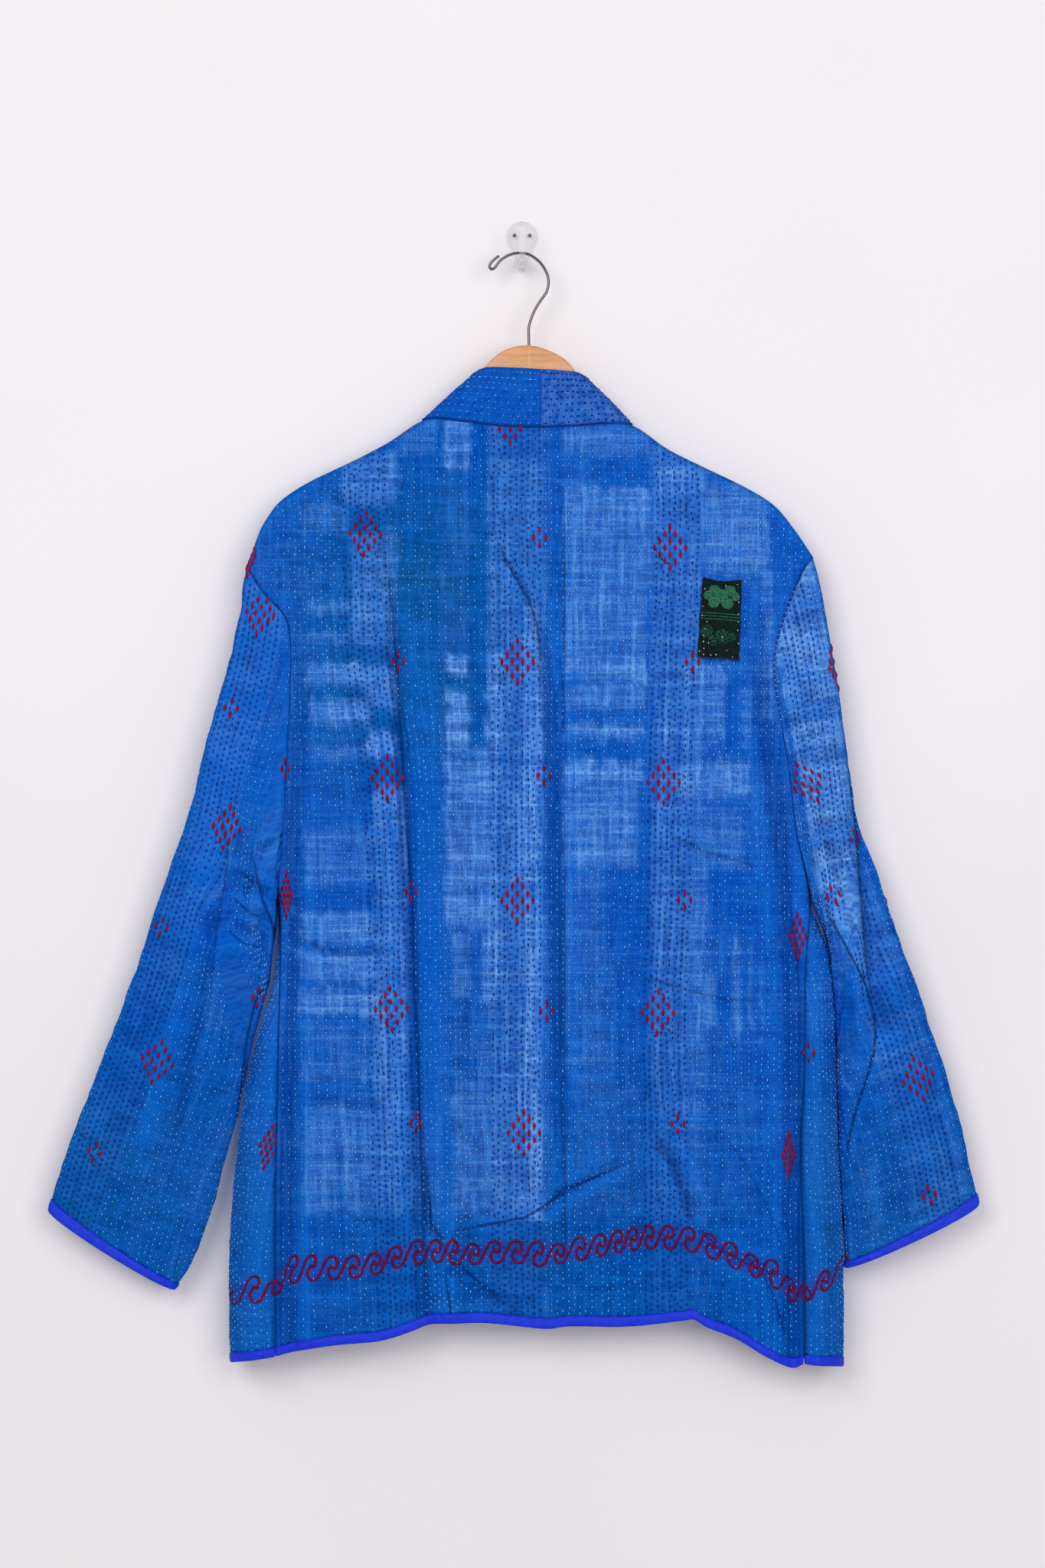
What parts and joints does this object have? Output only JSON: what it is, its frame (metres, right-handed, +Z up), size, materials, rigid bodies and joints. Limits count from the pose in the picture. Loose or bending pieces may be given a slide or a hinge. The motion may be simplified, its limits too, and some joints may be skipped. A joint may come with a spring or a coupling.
{
  "type": "quilted cotton jacket on a wooden hanger and wall hook",
  "caption": "Running-stitch quilted cotton jacket with band collar and wide straight sleeves, hung from behind on a wooden hanger and wall hook.",
  "frame": {"origin": "middle of the round part of the wall hook's plate, on its back, where it lies on the wall", "axes": "+Z up, +Y into the wall, the jacket's back faces -Y and its fronts face the wall"},
  "size_m": [0.8038, 0.0586, 0.9902],
  "materials": {
    "quilted_cotton": "matte quilted cotton",
    "band_dark": "matte ribbed cotton",
    "band_light": "matte quilted cotton",
    "binding": "smooth cotton tape",
    "brocade_patch": "worn brocade",
    "hanger_wood": "satin varnish",
    "wire": "bright",
    "hook_plastic": "gloss"
  },
  "bodies": {
    "root": {"back": "quilted_cotton", "front_left": "quilted_cotton", "front_right": "quilted_cotton", "sleeve_left": "quilted_cotton", "sleeve_right": "quilted_cotton", "collar_band_left": "band_dark", "collar_band_right": "band_light", "hem_binding_back": "binding", "hem_binding_front_left": "binding", "hem_binding_front_right": "binding", "cuff_binding_left": "binding", "cuff_binding_right": "binding", "patch": "brocade_patch", "hanger_wood": "hanger_wood", "hanger_hook": "wire", "wall_hook": "hook_plastic", "wall_hook_nail_left": "wire", "wall_hook_nail_right": "wire"}
  },
  "joints": []
}
